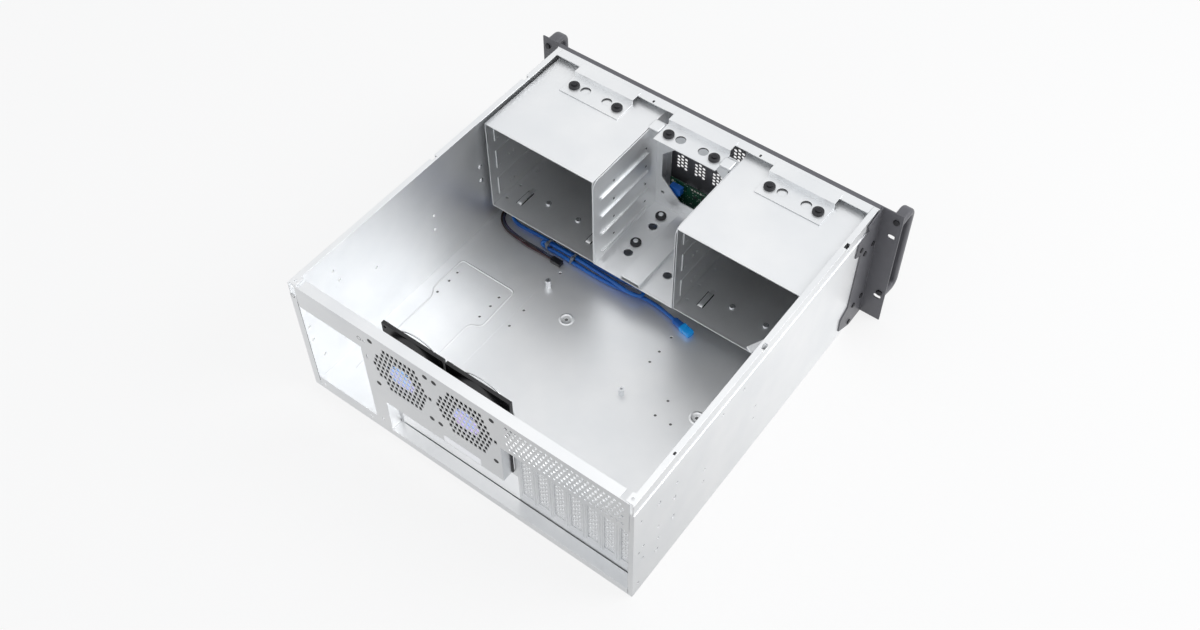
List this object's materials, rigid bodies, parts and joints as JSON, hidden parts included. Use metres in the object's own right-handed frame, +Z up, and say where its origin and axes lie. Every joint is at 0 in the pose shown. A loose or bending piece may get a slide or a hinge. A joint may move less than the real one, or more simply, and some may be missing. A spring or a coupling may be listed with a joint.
{
  "type": "empty rackmount server case",
  "caption": "Open four-unit rackmount case in zinc-coated steel with dark front, rack ears, bow handles, drive cages, rear fans and card slots.",
  "frame": {"origin": "middle of the base of the whole case, handles included", "axes": "+X across the case towards the power supply opening, +Y to the rear, +Z up"},
  "size_m": [0.4826, 0.477, 0.177],
  "materials": {
    "black_screws": "blackened steel",
    "blue_cable": "blue soft plastic",
    "board": "green circuit board",
    "bright_steel": "plated steel",
    "cyan_plug": "light blue moulded plastic",
    "fan_plastic": "moulded black plastic",
    "front_coating": "anthracite powder coat, fine texture",
    "front_plastic": "moulded black plastic",
    "leads": "thin insulated leads, dark colours",
    "lens": "clear moulded plastic",
    "rubber": "moulded black rubber",
    "tie": "clear nylon",
    "zinc_steel": "zinc-coated sheet steel, satin"
  },
  "bodies": {
    "case": {"bay_cover_left_1": "front_plastic", "bay_cover_left_2": "front_plastic", "bay_cover_left_3": "front_plastic", "bay_cover_right_1": "front_plastic", "bay_cover_right_2": "front_plastic", "bay_cover_right_3": "front_plastic", "bracket_grommets": "rubber", "bracket_pins": "bright_steel", "cable_ties": "tie", "cage_screws": "bright_steel", "cage_strap": "zinc_steel", "centre_bracket": "zinc_steel", "chassis_tray": "zinc_steel", "drive_cage_left": "zinc_steel", "drive_cage_right": "zinc_steel", "ear_left": "front_coating", "ear_right": "front_coating", "ear_screws": "black_screws", "fan_frame_1": "fan_plastic", "fan_frame_2": "fan_plastic", "fan_guard_1": "bright_steel", "fan_guard_2": "bright_steel", "fan_plate": "zinc_steel", "fan_screws": "black_screws", "far_plug": "cyan_plug", "front_bezel": "front_coating", "front_panel": "zinc_steel", "front_port_sockets": "bright_steel", "handle_left": "front_coating", "handle_right": "front_coating", "handle_screws": "black_screws", "hanger_centre": "zinc_steel", "hanger_grommets": "rubber", "hanger_left": "zinc_steel", "hanger_right": "zinc_steel", "hanger_screws": "bright_steel", "io_slot_plate": "zinc_steel", "lead_bundle": "leads", "lead_plug": "fan_plastic", "light_lenses": "lens", "port_board": "board", "port_cable": "blue_cable", "port_hank": "blue_cable", "port_plug": "blue_cable", "port_tail": "blue_cable", "rear_panel": "zinc_steel", "slot_cover_1": "zinc_steel", "slot_cover_2": "zinc_steel", "slot_cover_3": "zinc_steel", "slot_cover_4": "zinc_steel", "slot_cover_5": "zinc_steel", "slot_cover_6": "zinc_steel", "slot_cover_7": "zinc_steel", "slot_cover_screws": "bright_steel", "standoffs": "bright_steel", "strap_screw": "bright_steel"},
    "left_rotor": {"fan_rotor_1": "fan_plastic"},
    "right_rotor": {"fan_rotor_2": "fan_plastic"},
    "power_cap": {"power_button": "front_plastic"},
    "reset_cap": {"reset_button": "front_plastic"}
  },
  "joints": [
    {"name": "left_rotor_spin", "type": "hinge", "parent": "case", "child": "left_rotor", "pos_m": [0.0687, 0.225, 0.129], "axis": [0, 1, 0], "continuous": true},
    {"name": "right_rotor_spin", "type": "hinge", "parent": "case", "child": "right_rotor", "pos_m": [-0.0142, 0.225, 0.129], "axis": [0, 1, 0], "continuous": true},
    {"name": "power_press", "type": "slide", "parent": "case", "child": "power_cap", "axis": [0, 1, 0], "range_m": [0, 0.001], "stiffness_N_per_m": 400},
    {"name": "reset_press", "type": "slide", "parent": "case", "child": "reset_cap", "axis": [0, 1, 0], "range_m": [0, 0.001], "stiffness_N_per_m": 400}
  ]
}
